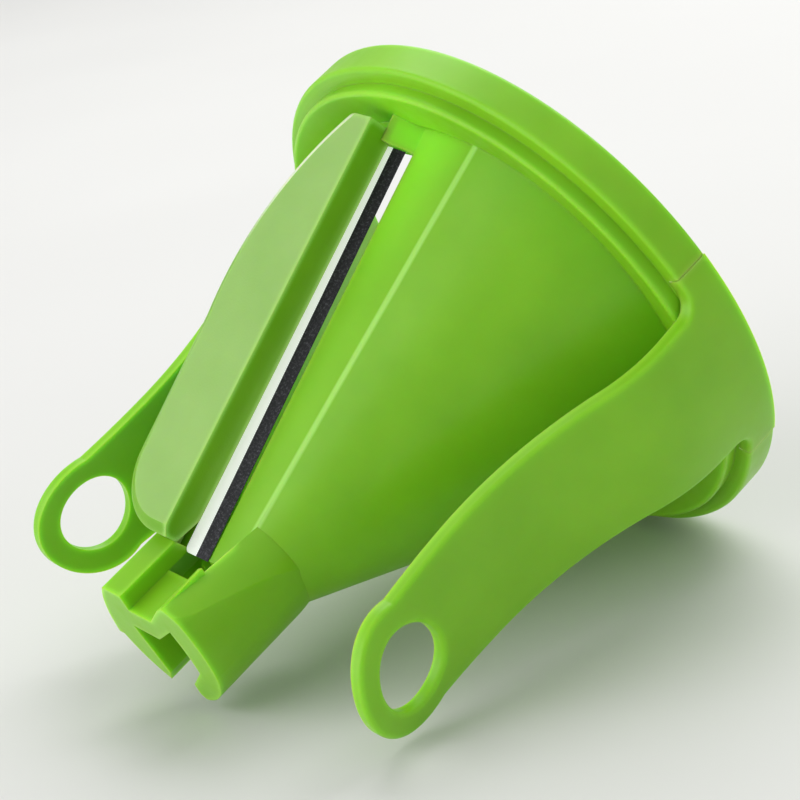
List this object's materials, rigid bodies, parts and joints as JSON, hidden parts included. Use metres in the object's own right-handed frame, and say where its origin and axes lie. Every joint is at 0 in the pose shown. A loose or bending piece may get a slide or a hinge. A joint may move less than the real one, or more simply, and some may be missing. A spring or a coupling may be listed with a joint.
{
  "type": "spiral slicer cone cutter",
  "caption": "Hollow moulded cone with a straight steel blade along one side, a rim band with ring-ended clip arms and a split keyed socket at the tip.",
  "frame": {"origin": "point where the cone's axis crosses the mouth plane", "axes": "+Z along the cone's axis towards the tip socket, -Y through the blade's side, +X and -X through the clip arms, with the blade cover on the +X side"},
  "size_m": [0.09, 0.09, 0.0816],
  "materials": {
    "green_body": "satin moulded",
    "pale_cover": "fine matte",
    "blade_steel": "ground and polished"
  },
  "bodies": {
    "root": {"cone_body": "green_body", "front_band": "green_body", "back_band": "green_body", "left_arm": "green_body", "right_arm": "green_body", "tip_socket": "green_body", "blade_cover": "pale_cover", "blade": "blade_steel"}
  },
  "joints": []
}
